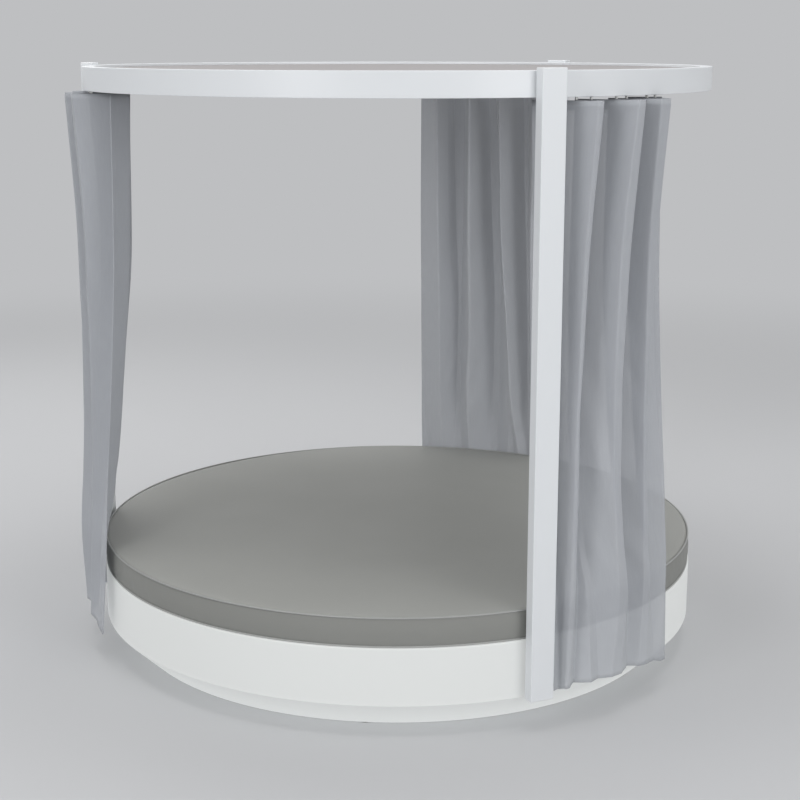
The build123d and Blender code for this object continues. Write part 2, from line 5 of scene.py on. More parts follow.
import bmesh
import bpy
import numpy as np
from mathutils import Matrix, Vector, noise


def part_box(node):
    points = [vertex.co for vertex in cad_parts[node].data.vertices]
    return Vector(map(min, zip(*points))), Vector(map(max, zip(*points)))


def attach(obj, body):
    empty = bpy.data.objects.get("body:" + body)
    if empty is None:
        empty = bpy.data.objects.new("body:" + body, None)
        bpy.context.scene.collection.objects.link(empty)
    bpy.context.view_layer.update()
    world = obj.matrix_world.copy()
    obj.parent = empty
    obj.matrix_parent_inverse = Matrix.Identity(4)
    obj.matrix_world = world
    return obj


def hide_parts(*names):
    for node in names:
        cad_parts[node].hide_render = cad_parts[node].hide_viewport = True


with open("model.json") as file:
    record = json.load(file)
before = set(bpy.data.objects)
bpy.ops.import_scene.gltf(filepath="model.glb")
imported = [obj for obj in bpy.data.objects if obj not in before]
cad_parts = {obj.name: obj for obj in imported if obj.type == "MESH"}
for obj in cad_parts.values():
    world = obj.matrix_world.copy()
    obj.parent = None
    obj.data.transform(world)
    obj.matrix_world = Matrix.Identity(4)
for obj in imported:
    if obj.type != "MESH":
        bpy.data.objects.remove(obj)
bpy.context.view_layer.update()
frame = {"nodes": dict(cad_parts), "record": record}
nodes = frame["nodes"]
sides = {"back": radians(90), "left": radians(210), "right": radians(330)}
print("frame loaded")

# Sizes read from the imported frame
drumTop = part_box("base_shell")[1].z
weltRadius = (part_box("mattress_welt_top")[1].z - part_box("mattress_welt_top")[0].z) / 2
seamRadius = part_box("mattress_welt_top")[1].x - weltRadius
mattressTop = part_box("mattress_welt_top")[1].z - weltRadius
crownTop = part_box("mattress_cover")[1].z
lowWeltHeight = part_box("mattress_welt_bottom")[0].z + weltRadius
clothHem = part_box("curtain_back")[0].z
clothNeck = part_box("curtain_back")[1].z
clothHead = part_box("curtain_tape_back")[1].z
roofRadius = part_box("roof_membrane")[1].x
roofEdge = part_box("roof_membrane")[1].z
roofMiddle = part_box("roof_membrane")[0].z
cordRadius = (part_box("roof_edge_cord")[1].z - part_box("roof_edge_cord")[0].z) / 2
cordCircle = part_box("roof_edge_cord")[1].x - cordRadius
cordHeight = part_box("roof_edge_cord")[1].z - cordRadius
touch = 0.001  # how near counts as the same place


# Shader maths

class Signal:
    # A socket that takes part in sums: each operator adds its Math node
    def __init__(self, finish, socket):
        self.finish = finish
        self.socket = socket

    def maths(self, operation, *values):
        return self.finish.node("ShaderNodeMath", {"operation": operation}, dict(enumerate(values)))

    def __add__(self, other):
        return self.maths("ADD", self, other)

    def __sub__(self, other):
        return self.maths("SUBTRACT", self, other)

    def __rsub__(self, other):
        return self.maths("SUBTRACT", other, self)

    def __mul__(self, other):
        return self.maths("MULTIPLY", self, other)

    def __truediv__(self, other):
        return self.maths("DIVIDE", self, other)

    def __rtruediv__(self, other):
        return self.maths("DIVIDE", other, self)

    __radd__ = __add__
    __rmul__ = __mul__

    def wave(self):
        return self.maths("SINE", self)

    def lifted(self):
        # From a wave's -1 to 1 to a mask's 0 to 1
        return self * 0.5 + 0.5

    def kept(self):
        # Held between 0 and 1
        return self.finish.node("ShaderNodeClamp", {}, {0: self})


class Finish:
    # One material, or the world's, built node by node
    def __init__(self, name, store=bpy.data.materials):
        self.material = store.new(name)
        self.material.use_nodes = True
        self.material.node_tree.nodes.clear()
        self.coords = None

    def node(self, kind, settings, inputs, output=0):
        made = self.material.node_tree.nodes.new(kind)
        for name, value in settings.items():
            setattr(made, name, value)
        for key, value in inputs.items():
            if isinstance(value, Signal):
                self.material.node_tree.links.new(value.socket, made.inputs[key])
            else:
                made.inputs[key].default_value = value
        return Signal(self, made.outputs[output]) if made.outputs else None

    def place(self):
        if self.coords is None:
            self.coords = self.node("ShaderNodeTexCoord", {}, {}, "Object")
        return self.coords

    def stretched(self, scale):
        return self.node("ShaderNodeMapping", {}, {"Vector": self.place(), "Scale": scale})

    def axis(self, vector, name):
        return self.node("ShaderNodeSeparateXYZ", {}, {0: vector}, name)

    def length(self, vector):
        return self.node("ShaderNodeVectorMath", {"operation": "LENGTH"}, {0: vector}, "Value")

    def grain(self, scale, detail=2.0, vector=None):
        return self.node("ShaderNodeTexNoise", {}, {
            "Vector": vector or self.place(), "Scale": scale, "Detail": detail})

    def cells(self, scale, output="Distance"):
        return self.node("ShaderNodeTexVoronoi", {}, {
            "Vector": self.place(), "Scale": scale}, output)

    def between(self, factor, first, second):
        return self.node("ShaderNodeMix", {"data_type": "RGBA"}, {0: factor, 6: first, 7: second}, 2)

    def bump(self, height, strength, distance):
        return self.node("ShaderNodeBump", {}, {
            "Height": height, "Strength": strength, "Distance": distance})

    def seen(self):
        # 1 where the camera sees this, directly or in a reflection or through cloth
        rays = [self.node("ShaderNodeLightPath", {}, {}, f"Is {kind} Ray")
                for kind in ("Camera", "Glossy", "Transmission")]
        return (rays[0] + rays[1] + rays[2]).kept()

    def surface(self, inputs):
        shader = self.node("ShaderNodeBsdfPrincipled", {}, inputs)
        self.node("ShaderNodeOutputMaterial", {}, {0: shader})
        return self.material


def screen(red, green, blue):
    # A colour as it looks on a screen, 0 to 255, as the linear colour that a shader takes
    shares = [x / 255 for x in (red, green, blue)]
    return tuple(x / 12.92 if x < 0.04 else ((x + 0.055) / 1.055) ** 2.4 for x in shares) + (1.0,)


def dimmer(colour, share):
    return tuple(x * share for x in colour[:3]) + (1.0,)


# Finishes

def paintFinish(name, look):
    finish = Finish(name)
    cloudy = finish.grain(look["cloudScale"])
    peel = finish.grain(look["peelScale"])
    return finish.surface({
        "Base Color": finish.between(cloudy, look["colour"], dimmer(look["colour"], look["dim"])),
        "Roughness": cloudy * look["patchy"] + look["roughness"],
        "Normal": finish.bump(peel, look["depth"], look["bumpHeight"]),
    })


def metalFinish(name, look):
    finish = Finish(name)
    drawn = finish.grain(look["drawnScale"], look["drawnDetail"],
                         finish.stretched(look["stretch"]))
    return finish.surface({
        "Base Color": finish.between(drawn, look["colour"], dimmer(look["colour"], look["dim"])),
        "Roughness": drawn * look["patchy"] + look["roughness"],
        "Metallic": 1.0,
        "Normal": finish.bump(drawn, look["depth"], look["bumpHeight"]),
    })


def zincFinish(name, look):
    # Hot-dip zinc: crystals of unlike grey, with a fine grain over them
    finish = Finish(name)
    crystal = finish.axis(finish.cells(look["crystalScale"], "Color"), "X")
    grain = finish.grain(look["grainScale"])
    relief = crystal * look["crystalRelief"] + grain * look["grainRelief"]
    return finish.surface({
        "Base Color": finish.between(crystal, look["dark"], look["light"]),
        "Roughness": crystal * look["patchy"] + look["roughness"],
        "Metallic": look["metallic"],
        "Normal": finish.bump(relief, look["depth"], look["bumpHeight"]),
    })


def mouldedFinish(name, look):
    finish = Finish(name)
    cloudy = finish.grain(look["cloudScale"])
    spark = finish.cells(look["sparkScale"])
    return finish.surface({
        "Base Color": finish.between(cloudy, look["colour"], dimmer(look["colour"], look["dim"])),
        "Roughness": cloudy * look["patchy"] + look["roughness"],
        "Normal": finish.bump(spark, look["depth"], look["bumpHeight"]),
    })


def glowFinish(name, look):
    # Translucent moulded wall with light behind it, stronger towards the floor
    finish = Finish(name)
    cloudy = finish.grain(look["cloudScale"], look["cloudDetail"])
    orange = finish.grain(look["orangeScale"])
    height = finish.axis(finish.place(), "Z")
    low = (1 - height / look["glowHeight"]).kept()
    lit = finish.between(low, dimmer(look["glow"], look["glowDim"]), look["glow"])
    return finish.surface({
        "Base Color": finish.between(cloudy, look["colour"], dimmer(look["colour"], look["dim"])),
        "Roughness": cloudy * look["patchy"] + look["roughness"],
        "Emission Color": lit,
        "Emission Strength": look["strength"],
        "Normal": finish.bump(orange, look["depth"], look["bumpHeight"]),
    })


def coatedFinish(name, look):
    # Grained outdoor upholstery: fine pebbles, soft clouds of tone, and painted shade on the
    # border below the seam, which is dimmed so that it looks less lit than the top
    finish = Finish(name)
    pebble = finish.cells(look["pebbleScale"])
    cloudy = finish.grain(look["cloudScale"])
    fine = finish.grain(look["fineScale"])
    tone = (cloudy * look["cloudShare"] + fine * (1 - look["cloudShare"])).kept()
    height = finish.axis(finish.place(), "Z")
    # Painted shade: below the seam the cover's colour is dimmed by the share "border"
    border = ((look["seam"] - height) / look["shadeBlend"]).kept()
    top = finish.between(tone, look["light"], look["dark"])
    side = finish.between(tone, dimmer(look["light"], look["border"]),
                          dimmer(look["dark"], look["border"]))
    return finish.surface({
        "Base Color": finish.between(border, top, side),
        "Roughness": tone * look["patchy"] + look["roughness"],
        "Normal": finish.bump(pebble + fine * look["fineRelief"], look["depth"],
                              look["bumpHeight"]),
        "Specular IOR Level": look["gloss"],
    })


def wovenFinish(name, look):
    # Plain weave along the piece's own UV map, whose unit is a metre
    finish = Finish(name)
    cloth = finish.node("ShaderNodeUVMap", {"uv_map": "cloth"}, {})
    pitch = 2 * pi / look["thread"]
    warp = (finish.axis(cloth, "X") * pitch).wave()
    weft = (finish.axis(cloth, "Y") * pitch).wave()
    weave = (warp * weft).lifted()
    slub = finish.grain(look["slubScale"], look["slubDetail"], finish.node(
        "ShaderNodeMapping", {}, {"Vector": cloth, "Scale": look["slubStretch"]}))
    tone = (weave * look["weaveShare"] + slub * (1 - look["weaveShare"])).kept()
    inputs = {
        "Base Color": finish.between(tone, look["light"], look["dark"]),
        "Roughness": tone * look["patchy"] + look["roughness"],
        "Normal": finish.bump(weave + slub * look["slubRelief"], look["depth"],
                              look["thread"] * look["threadRelief"]),
        "Sheen Weight": look["sheen"],
        "Sheen Roughness": look["sheenRoughness"],
        "Specular IOR Level": look["gloss"],
    }
    if look["cover"] < 1:
        inputs["Alpha"] = (weave * look["openness"] + look["cover"]).kept()
    return finish.surface(inputs)


def lampFinish(name, look):
    # Diffuser over a row of small lamps
    finish = Finish(name)
    reach = finish.length(finish.place())
    dots = (reach * (2 * pi / look["pitch"])).wave().lifted()
    return finish.surface({
        "Base Color": look["colour"],
        "Roughness": look["roughness"],
        "Emission Color": finish.between(dots, dimmer(look["colour"], look["dim"]), look["colour"]),
        "Emission Strength": look["strength"],
    })


# What several finishes of a kind have alike: roughness varies by "patchy", a bump stands
# "bumpHeight" metres high
metal = {"drawnScale": 60.0, "drawnDetail": 3.0, "stretch": (1.0, 1.0, 0.1), "dim": 0.86,
         "depth": 0.08, "bumpHeight": 0.0003, "patchy": 0.18}
moulded = {"patchy": 0.1, "bumpHeight": 0.0003}
coated = {"cloudShare": 0.7, "fineRelief": 0.5, "bumpHeight": 0.0005, "patchy": 0.14,
          "seam": mattressTop, "shadeBlend": 0.003}
woven = {"slubDetail": 2.0, "weaveShare": 0.35, "slubRelief": 0.4, "threadRelief": 0.3,
         "patchy": 0.1, "sheen": 0.1, "sheenRoughness": 0.5, "gloss": 0.25}
finishes = {
    "white_paint": paintFinish("whitePaint", {
        "colour": screen(224, 227, 230), "dim": 0.97, "cloudScale": 3.0, "peelScale": 650.0,
        "depth": 0.05, "bumpHeight": 0.0003, "roughness": 0.34, "patchy": 0.06}),
    "white_plastic": mouldedFinish("whitePlastic", {
        **moulded,
        "colour": screen(226, 228, 230), "dim": 0.97, "cloudScale": 14.0, "sparkScale": 1500.0,
        "depth": 0.04, "roughness": 0.36}),
    "glow_plastic": glowFinish("glowPlastic", {
        "colour": screen(188, 190, 189), "dim": 0.98, "glow": (0.98, 1.0, 0.99, 1.0),
        "glowDim": 0.68, "glowHeight": 0.12, "strength": 0.4, "cloudScale": 2.2,
        "cloudDetail": 1.0, "orangeScale": 260.0, "depth": 0.05, "bumpHeight": 0.0004,
        "roughness": 0.36, "patchy": 0.08}),
    "light_strip": lampFinish("lightStrip", {
        "colour": screen(250, 250, 244), "dim": 0.6, "strength": 1.0, "pitch": 0.033,
        "roughness": 0.3}),
    "rubber": mouldedFinish("rubber", {
        **moulded,
        "colour": screen(60, 60, 61), "dim": 0.8, "cloudScale": 40.0, "sparkScale": 900.0,
        "depth": 0.2, "roughness": 0.7}),
    "pad_rubber": mouldedFinish("padRubber", {
        **moulded,
        "colour": screen(150, 152, 154), "dim": 0.85, "cloudScale": 30.0, "sparkScale": 900.0,
        "depth": 0.15, "roughness": 0.65}),
    "dark_plastic": mouldedFinish("darkPlastic", {
        **moulded,
        "colour": screen(66, 67, 70), "dim": 0.85, "cloudScale": 30.0, "sparkScale": 1100.0,
        "depth": 0.12, "roughness": 0.45}),
    "galvanised_steel": zincFinish("galvanisedSteel", {
        "dark": screen(150, 154, 158), "light": screen(196, 199, 202), "crystalScale": 70.0,
        "grainScale": 500.0, "crystalRelief": 0.4, "grainRelief": 0.3, "depth": 0.25,
        "bumpHeight": 0.0004, "roughness": 0.36, "patchy": 0.2, "metallic": 0.85}),
    "stainless_steel": metalFinish("stainlessSteel", {
        **metal, "colour": screen(205, 206, 207), "roughness": 0.22}),
    "aluminium": metalFinish("millAluminium", {
        **metal, "colour": screen(214, 215, 216), "roughness": 0.3}),
    "white_nylon": mouldedFinish("whiteNylon", {
        **moulded,
        "colour": screen(233, 233, 230), "dim": 0.96, "cloudScale": 60.0, "sparkScale": 1600.0,
        "depth": 0.03, "roughness": 0.3}),
    # The cover's "border" share is painted shade on its side below the seam; the welt's 1.0 paints none
    "mattress_fabric": coatedFinish("mattressCover", {
        **coated, "light": screen(177, 178, 174), "dark": screen(167, 168, 164),
        "pebbleScale": 620.0, "cloudScale": 2.4, "fineScale": 240.0, "depth": 0.12,
        "roughness": 0.4, "gloss": 0.18, "border": 0.63}),
    "welt_fabric": coatedFinish("weltCover", {
        **coated, "light": screen(172, 173, 171), "dark": screen(158, 159, 158),
        "pebbleScale": 700.0, "cloudScale": 9.0, "fineScale": 300.0, "depth": 0.15,
        "roughness": 0.36, "gloss": 0.5, "border": 1.0}),
    "foam": mouldedFinish("foam", {
        **moulded,
        "colour": screen(222, 218, 208), "dim": 0.9, "cloudScale": 50.0, "sparkScale": 400.0,
        "depth": 0.4, "roughness": 0.9}),
    "curtain_fabric": wovenFinish("voile", {
        **woven, "light": screen(198, 201, 206), "dark": screen(184, 187, 193),
        "thread": 0.0012, "slubScale": 30.0, "slubStretch": (6.0, 0.6, 1.0), "depth": 0.12,
        "roughness": 0.62, "cover": 0.6, "openness": 0.08}),
    "tape_fabric": wovenFinish("headerTape", {
        **woven, "light": screen(196, 199, 204), "dark": screen(180, 183, 189),
        "thread": 0.0018, "slubScale": 60.0, "slubStretch": (2.0, 8.0, 1.0), "depth": 0.3,
        "roughness": 0.7, "cover": 1.0}),
    "roof_fabric": wovenFinish("roofCanvas", {
        **woven, "light": screen(156, 152, 152), "dark": screen(145, 141, 142),
        "thread": 0.0014, "slubScale": 18.0, "slubStretch": (3.0, 1.0, 1.0), "depth": 0.2,
        "roughness": 0.6, "cover": 1.0}),
}
for subpart in frame["record"]["subparts"]:
    node = nodes[subpart["node"]]
    node.data.materials.clear()
    node.data.materials.append(finishes[subpart["material_slot"]])
print("finishes made")


# Making pieces

def newPiece(name, work, slot, body):
    mesh = bpy.data.meshes.new(name)
    work.to_mesh(mesh)
    work.free()
    mesh.materials.append(finishes[slot])
    mesh.polygons.foreach_set("use_smooth", [True] * len(mesh.polygons))
    piece = bpy.data.objects.new(name, mesh)
    bpy.context.scene.collection.objects.link(piece)
    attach(piece, body)
    return piece


mergeShare = 0.02  # of a hoop's radius, between points that are one


def hoop(work, circle, height, radius, sections, steps):
    # A round ring about the axis: a small circle on edge, spun all round
    made = bmesh.ops.create_circle(work, segments=sections, radius=radius)
    standing = Matrix.Translation((circle, 0, height)) @ Matrix.Rotation(pi / 2, 4, "X")
    bmesh.ops.transform(work, matrix=standing, verts=made["verts"])
    edges = list({e for v in made["verts"] for e in v.link_edges})
    bmesh.ops.spin(work, geom=made["verts"] + edges, cent=(0, 0, 0), axis=(0, 0, 1),
                   angle=2 * pi, steps=steps, use_merge=True)
    bmesh.ops.remove_doubles(work, verts=work.verts, dist=radius * mergeShare)
    bmesh.ops.recalc_face_normals(work, faces=work.faces)


def discGrid(work, count, radius, height):
    # A square grid drawn out to a round one, with even cells
    made = bmesh.ops.create_grid(work, x_segments=count, y_segments=count, size=1)["verts"]
    for v in made:
        x, y = v.co.x, v.co.y
        v.co = (x * sqrt(1 - y * y / 2) * radius, y * sqrt(1 - x * x / 2) * radius, height)
    return made


def solid(piece, thickness, group="", thinShare=1.0):
    # Cloth gets its thickness, and only that share of it outside the group
    wall = piece.modifiers.new("thickness", "SOLIDIFY")
    wall.thickness = thickness
    wall.offset = 0
    wall.use_even_offset = False
    if group:
        wall.vertex_group = group
        wall.thickness_vertex_group = thinShare


# Mattress

mattress = {"cells": 84, "insetShare": 0.4, "borderRows": 8, "bulge": 0.0026,
            "weltSections": 12, "weltSteps": 288}
puff = {"quality": 5, "mass": 0.4, "stretchStiffness": 15, "shearStiffness": 5,
        "bendStiffness": 0.5, "pressure": 4.0, "slack": 0.004, "cap": 0.003, "frames": 20}


def mattressForm():
    work = bmesh.new()
    inset = seamRadius - weltRadius * mattress["insetShare"]
    middle = (mattressTop + drumTop) / 2
    top = discGrid(work, mattress["cells"], inset, mattressTop)
    for v in top:
        away = v.co.xy.length / inset
        v.co.z += (crownTop - mattressTop) * (1 - away ** 2)
    bottom = discGrid(work, mattress["cells"], inset, drumTop)
    bmesh.ops.reverse_faces(work, faces=list({f for v in bottom for f in v.link_faces}))
    rims = [e for e in work.edges if e.is_boundary]
    bmesh.ops.bridge_loops(work, edges=rims)
    border = [e for e in work.edges if min(v.co.z for v in e.verts) < middle
              < max(v.co.z for v in e.verts)]
    bmesh.ops.subdivide_edges(work, edges=border, cuts=mattress["borderRows"] - 1,
                              use_grid_fill=True)
    for v in work.verts:
        if v.co.xy.length > inset - touch:
            rise = (v.co.z - middle) / (mattressTop - middle)
            grown = inset + mattress["bulge"] * (1 - min(1, rise * rise))
            v.co.xy = v.co.xy.normalized() * grown
    bmesh.ops.recalc_face_normals(work, faces=work.faces)
    return work


def puffed(piece, still):
    # Inflates the cover a little between its seams, then caps how far it may stand
    start = np.array([v.co for v in piece.data.vertices])
    group = piece.vertex_groups.new(name="still")
    group.add([v.index for v in piece.data.vertices if still(v.co)], 1.0, "REPLACE")
    cloth = piece.modifiers.new("puff", "CLOTH").settings
    cloth.quality = puff["quality"]
    cloth.mass = puff["mass"]
    cloth.tension_stiffness = puff["stretchStiffness"]
    cloth.compression_stiffness = puff["stretchStiffness"]
    cloth.shear_stiffness = puff["shearStiffness"]
    cloth.bending_stiffness = puff["bendStiffness"]
    cloth.use_pressure = True
    cloth.uniform_pressure_force = puff["pressure"]
    cloth.shrink_min = -puff["slack"]
    cloth.effector_weights.gravity = 0
    cloth.vertex_group_mass = "still"
    for step in range(1, puff["frames"] + 1):
        bpy.context.scene.frame_set(step)
    shaped = piece.evaluated_get(bpy.context.evaluated_depsgraph_get()).data
    moved = np.array([v.co for v in shaped.vertices]) - start
    length = np.linalg.norm(moved, axis=1, keepdims=True)
    moved *= puff["cap"] / np.maximum(length, puff["cap"])
    piece.modifiers.clear()
    bpy.context.scene.frame_set(1)
    piece.data.vertices.foreach_set("co", (start + moved).ravel())
    piece.data.update()


def makeMattress():
    cover = newPiece("mattressCover", mattressForm(), "mattress_fabric", "mattress")
    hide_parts("mattress_cover", "mattress_core", "mattress_base_cloth")
    seam = seamRadius - weltRadius
    puffed(cover, lambda co: co.z < drumTop + touch
           or (co.xy.length > seam and co.z > mattressTop - touch))
    smooth = cover.modifiers.new("smooth", "SUBSURF")
    smooth.levels = 1
    smooth.render_levels = 1
    for name, node, height in (("mattressWeltTop", "mattress_welt_top", mattressTop),
                               ("mattressWeltBottom", "mattress_welt_bottom", lowWeltHeight)):
        work = bmesh.new()
        hoop(work, seamRadius, height, weltRadius, mattress["weltSections"],
             mattress["weltSteps"])
        welt = newPiece(name, work, "welt_fabric", "mattress")
        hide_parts(node)


makeMattress()
print("mattress made")


# Curtains

# Corners of the cloth seen from above, from the fixed edge to the leading edge, at six
# heights from the hem up: turn in degrees from the post's middle, and reach from the axis
foldHeights = (0.115, 0.4, 0.6, 1.0, 1.4, 1.9)
folds = (
    {"turn": (3.1, 3.0, 2.8, 2.2, 1.5, 0.9), "reach": (1.075, 1.060, 1.050, 1.046, 1.045, 1.045)},
    {"turn": (3.9, 3.7, 3.3, 2.5, 1.6, 0.7), "reach": (1.078, 1.060, 1.014, 0.966, 0.933, 0.930)},
    {"turn": (4.3, 5.0, 5.4, 5.8, 6.6, 7.6), "reach": (1.106, 1.101, 1.096, 1.092, 1.088, 1.109)},
    {"turn": (4.9, 5.7, 6.1, 6.5, 7.4, 8.7), "reach": (1.106, 1.101, 1.096, 1.092, 1.088, 1.109)},
    {"turn": (6.5, 7.7, 8.4, 9.0, 10.0, 10.6), "reach": (1.084, 1.060, 1.014, 0.968, 0.935, 0.930)},
    {"turn": (13.0, 13.8, 13.3, 12.9, 13.4, 15.1), "reach": (1.122, 1.131, 1.117, 1.102, 1.100, 1.121)},
    {"turn": (15.3, 15.6, 14.8, 14.5, 15.4, 16.7), "reach": (1.121, 1.129, 1.117, 1.102, 1.100, 1.121)},
    {"turn": (18.6, 19.6, 19.4, 18.4, 18.4, 18.5), "reach": (1.084, 1.060, 1.014, 0.968, 0.935, 0.930)},
    {"turn": (20.4, 21.6, 21.8, 21.7, 21.4, 21.6), "reach": (1.108, 1.100, 1.091, 1.079, 1.080, 1.104)},
    {"turn": (22.4, 23.1, 22.9, 22.4, 23.2, 24.2), "reach": (1.113, 1.101, 1.091, 1.079, 1.080, 1.104)},
    {"turn": (25.2, 25.8, 26.0, 26.0, 26.1, 26.3), "reach": (1.100, 1.062, 1.020, 0.974, 0.939, 0.917)},
    {"turn": (27.8, 29.3, 30.0, 29.9, 29.9, 29.9), "reach": (1.099, 1.091, 1.070, 1.025, 1.001, 0.988)},
    {"turn": (29.5, 30.5, 30.6, 30.6, 30.7, 30.6), "reach": (1.096, 1.077, 1.066, 1.037, 1.014, 1.004)},
)
# Soft creases inside a panel: the fold it comes after, its share of the way along the
# panel, and how far it stands out from the flat at each height
creases = (
    {"after": 9, "share": (0.3, 0.3, 0.3, 0.3, 0.35, 0.28), "push": (0, 0, 0, 0.001, 0.005, 0.006)},
    {"after": 4, "share": (0.66, 0.42, 0.26, 0.2, 0.2, 0.2), "push": (-0.008, -0.006, -0.002, 0, 0, 0)},
    {"after": 4, "share": (0.42, 0.24, 0.13, 0.1, 0.1, 0.1), "push": (0.020, 0.009, 0.002, 0, 0, 0)},
)
curtain = {"bend": 0.008, "leastBend": 0.003, "bendShare": 0.42, "runSteps": 8, "foldSteps": 5,
           "rows": 96, "headGap": 0.001, "thickness": 0.0026, "thinShare": 0.5,
           "hemBand": 0.035, "sideBand": 0.018, "sway": 0.007, "swayAcross": 17.0,
           "swayAlong": 1.1, "stiffEdge": 0.16, "hemRise": 0.022, "hemReach": 0.3,
           "leadDrop": 0.016, "leadShare": 0.93}
headerTape = {"gap": 0.002, "thickness": 0.00065}


def smoothAt(xs, ys, x):
    # A smooth line through the points that never swings past them
    slopes = [(ys[i + 1] - ys[i]) / (xs[i + 1] - xs[i]) for i in range(len(xs) - 1)]
    tangents = [slopes[0]]
    for before, after in zip(slopes, slopes[1:]):
        tangents.append(0 if before * after <= 0 else 2 * before * after / (before + after))
    tangents.append(slopes[-1])
    x = min(max(x, xs[0]), xs[-1])
    i = max(k for k in range(len(xs) - 1) if xs[k] <= x)
    width = xs[i + 1] - xs[i]
    t = (x - xs[i]) / width
    return ((1 + 2 * t) * (1 - t) ** 2 * ys[i] + t * (1 - t) ** 2 * width * tangents[i]
            + t * t * (3 - 2 * t) * ys[i + 1] + t * t * (t - 1) * width * tangents[i + 1])


def foldCorners(height, angle):
    corners = []
    for fold in folds:
        turn = angle + radians(smoothAt(foldHeights, fold["turn"], height))
        reach = smoothAt(foldHeights, fold["reach"], height)
        corners.append(Vector((reach * cos(turn), reach * sin(turn))))
    flat = list(corners)
    for crease in creases:
        start, end = flat[crease["after"]], flat[crease["after"] + 1]
        run = end - start
        outward = Vector((run.y, -run.x)).normalized()
        place = start + run * smoothAt(foldHeights, crease["share"], height)
        place += outward * smoothAt(foldHeights, crease["push"], height)
        corners.insert(crease["after"] + 1, place)
    return corners


def foldLine(height, angle):
    # The cloth seen from above at a height: straight runs joined by round folds
    corners = foldCorners(height, angle)
    starts, ends, points = [corners[0]], [], []
    for before, corner, after in zip(corners, corners[1:], corners[2:]):
        come, go = corner - before, after - corner
        reach = max(curtain["bend"] * tan(come.angle(go) / 2), curtain["leastBend"])
        reach = min(reach, curtain["bendShare"] * min(come.length, go.length))
        ends.append(corner - come.normalized() * reach)
        starts.append(corner + go.normalized() * reach)
    ends.append(corners[-1])
    for i, (start, end) in enumerate(zip(starts, ends)):
        if i:
            for k in range(1, curtain["foldSteps"]):
                t = k / curtain["foldSteps"]
                points.append(ends[i - 1] * (1 - t) ** 2 + corners[i] * 2 * t * (1 - t)
                              + start * t * t)
        for k in range(curtain["runSteps"] + 1):
            points.append(start.lerp(end, k / curtain["runSteps"]))
    return points


def spansOf(line):
    # How far each point lies along its line
    spans = [0]
    for before, after in zip(line, line[1:]):
        spans.append(spans[-1] + (after - before).length)
    return spans


def clothGrid(lines, heights):
    # A grid whose columns follow the line at each height, with a UV map in metres
    work = bmesh.new()
    across, up = len(lines[0]) - 1, len(heights) - 1
    grid = bmesh.ops.create_grid(work, x_segments=across, y_segments=up, size=1)["verts"]
    spans = spansOf(lines[-1])
    layer = work.loops.layers.uv.new("cloth")
    for v in grid:
        i = round((v.co.x + 1) / 2 * across)
        j = round((v.co.y + 1) / 2 * up)
        v.co = (*lines[j][i], heights[j])
        for loop in v.link_loops:
            loop[layer].uv = (spans[i], heights[j])
    return work


def swayed(line, height, seed):
    # Slow unevenness of hanging cloth, none at the head, where the gliders hold it, nor at
    # the leading edge, whose side hem is stiff
    spans = spansOf(line)
    loose = (clothHead - height) / (clothHead - clothHem)
    moved = []
    for i, point in enumerate(line):
        along = line[min(i + 1, len(line) - 1)] - line[max(i - 1, 0)]
        place = Vector((spans[i] * curtain["swayAcross"], height * curtain["swayAlong"], seed))
        free = min(1, (spans[-1] - spans[i]) / curtain["stiffEdge"])
        push = noise.noise(place) * curtain["sway"] * loose * free
        moved.append(point + Vector((along.y, -along.x)).normalized() * push)
    return moved


def makeCurtain(side, angle, seed):
    rows = curtain["rows"]
    top = clothHead - curtain["headGap"]
    heights = [clothHem + (top - clothHem) * (j / rows) for j in range(rows + 1)]
    lines = [swayed(foldLine(h, angle), h, seed) for h in heights]
    work = clothGrid(lines, heights)
    spread = spansOf(lines[-1])[-1]
    layer = work.loops.layers.uv["cloth"]
    for v in work.verts:
        share = v.link_loops[0][layer].uv.x / spread
        lead = max(0, share - curtain["leadShare"]) / (1 - curtain["leadShare"])
        low = max(0, 1 - (v.co.z - clothHem) / curtain["hemReach"]) ** 2
        v.co.z += (curtain["hemRise"] * sin(pi * share) - curtain["leadDrop"] * lead) * low
    piece = newPiece(f"curtainCloth_{side}", work, "curtain_fabric", f"curtain_stack_{side}")
    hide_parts(f"curtain_{side}")
    bands = piece.vertex_groups.new(name="bands")
    uvs = piece.data.uv_layers["cloth"].uv
    for loop, uv in zip(piece.data.loops, uvs):
        across, height = uv.vector
        edge = min(across, spread - across) < curtain["sideBand"]
        if edge or height < clothHem + curtain["hemBand"]:
            bands.add([loop.vertex_index], 1.0, "REPLACE")
    solid(piece, curtain["thickness"], "bands", curtain["thinShare"])
    return piece, spread


def makeTape(side, angle, seed):
    # The header tape lies between the two faces of the cloth's head
    heights = [clothNeck, (clothNeck + clothHead) / 2, clothHead - headerTape["gap"]]
    work = clothGrid([swayed(foldLine(h, angle), h, seed) for h in heights], heights)
    piece = newPiece(f"headerTape_{side}", work, "tape_fabric", f"curtain_stack_{side}")
    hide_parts(f"curtain_tape_{side}")
    solid(piece, headerTape["thickness"])
    return piece


for seed, (side, angle) in enumerate(sides.items()):
    cloth, spread = makeCurtain(side, angle, seed)
    tape = makeTape(side, angle, seed)
    print(side, "curtain is", round(spread, 3), "wide along its folds at the head")
print("curtains made")


# Roof

roof = {"cells": 72, "thickness": 0.001, "gathers": 36, "gatherHeight": 0.0012,
        "gatherRise": 8, "gatherEnd": 24, "cordSections": 12, "cordSteps": 256}


